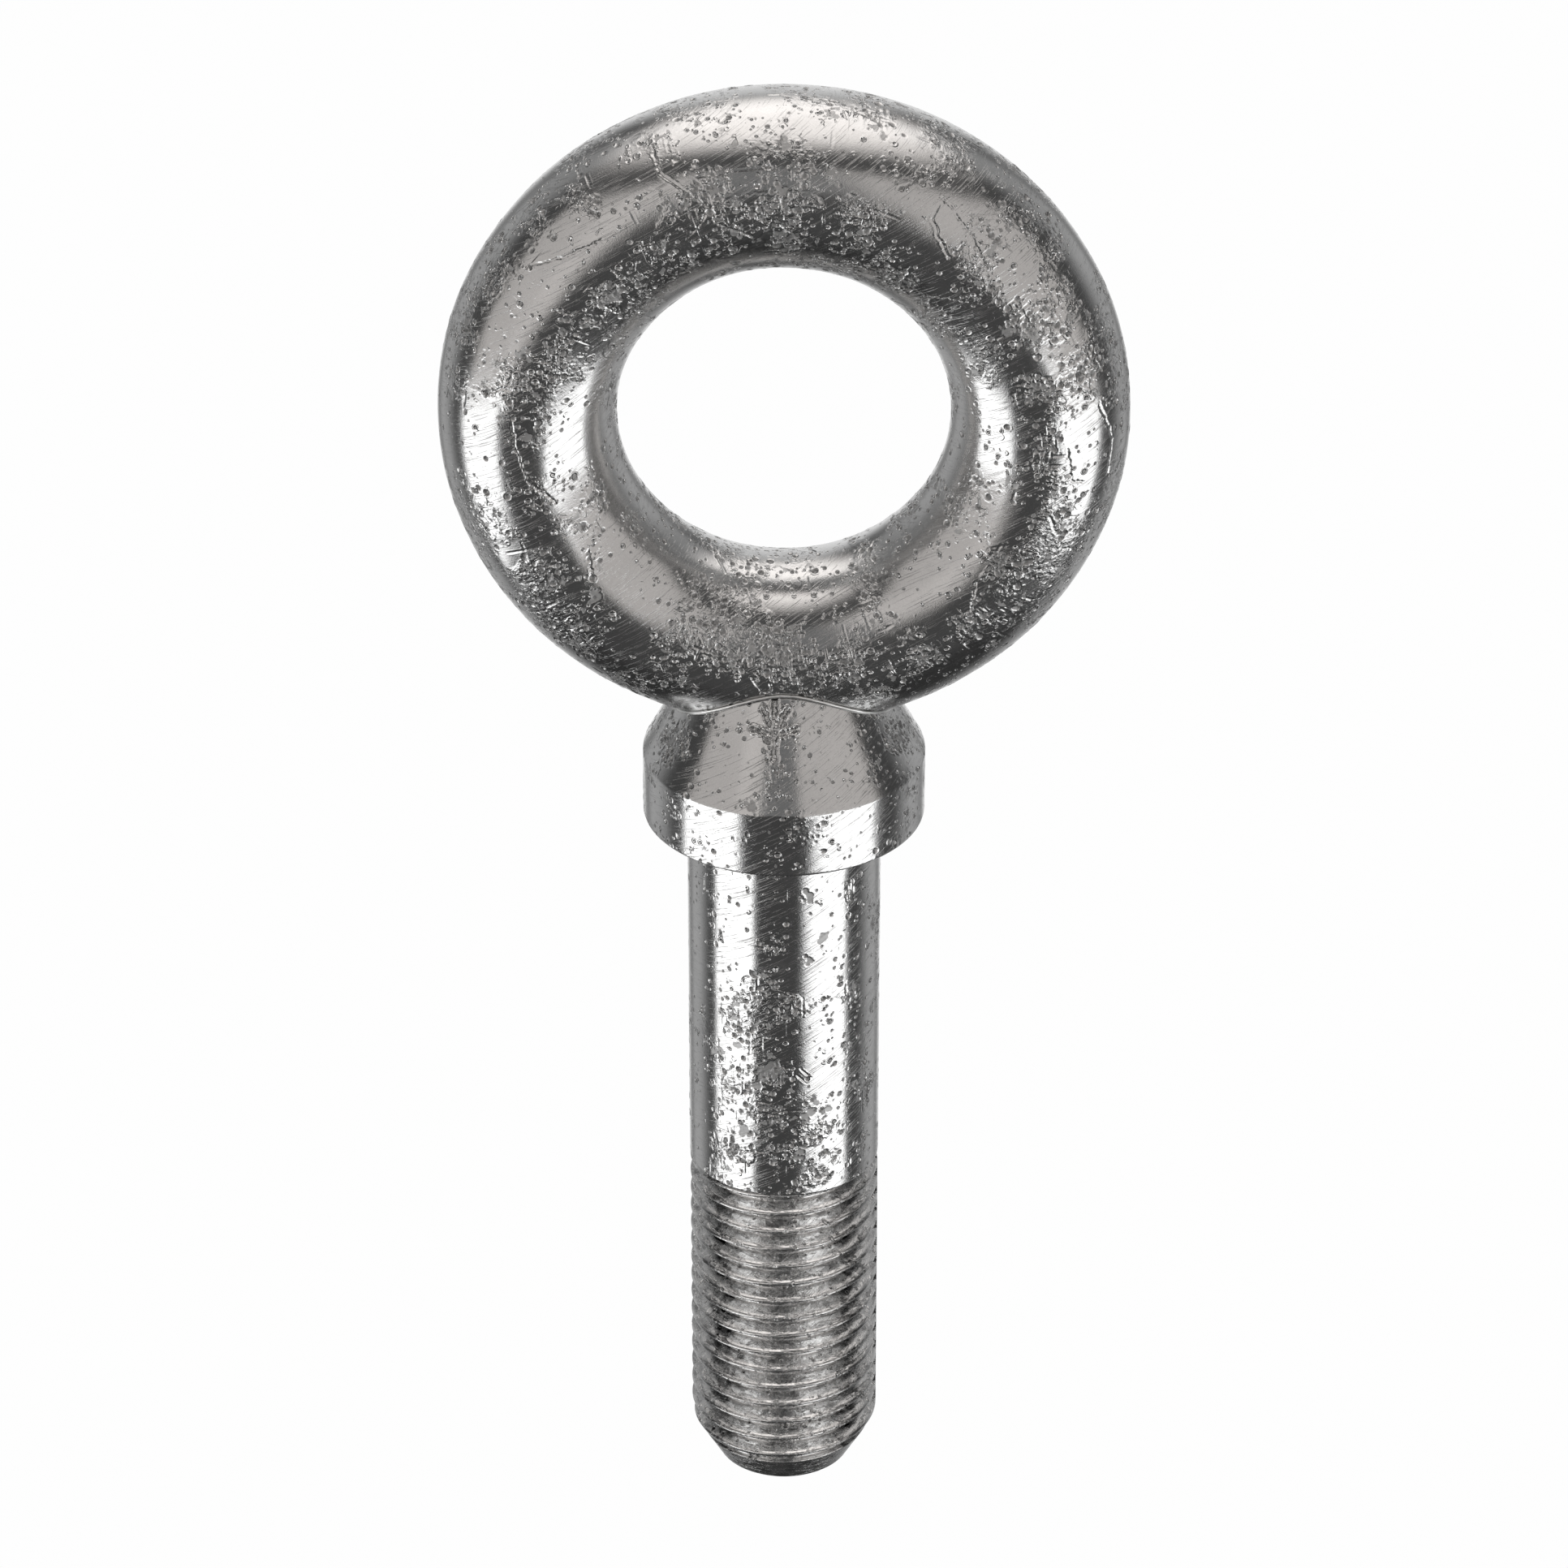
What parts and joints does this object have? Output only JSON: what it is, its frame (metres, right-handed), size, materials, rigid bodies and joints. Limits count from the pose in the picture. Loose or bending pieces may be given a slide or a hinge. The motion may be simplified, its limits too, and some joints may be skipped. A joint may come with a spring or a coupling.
{
  "type": "shoulder eye bolt",
  "caption": "Shoulder eye bolt for lifting: a round-bar ring welded in a saddle on a turned stud with a cone, a collar, a plain shank and a right-hand thread.",
  "frame": {"origin": "centre of the shoulder's underside, the bearing face that meets the lifted part around its tapped hole", "axes": "+Z along the shank's axis, from the threaded point towards the eye; +Y along the hole of the eye; +X across the eye, in the ring's plane"},
  "size_m": [0.1316, 0.0552, 0.3049],
  "materials": {
    "ring_steel": "bright steel, pitted, dented and scratched",
    "stud_steel": "turned bright steel, pitted and scratched",
    "weld_metal": "dressed weld metal"
  },
  "bodies": {
    "root": {"eye_ring": "ring_steel", "shoulder_stud": "stud_steel", "saddle_weld": "weld_metal"}
  },
  "joints": []
}
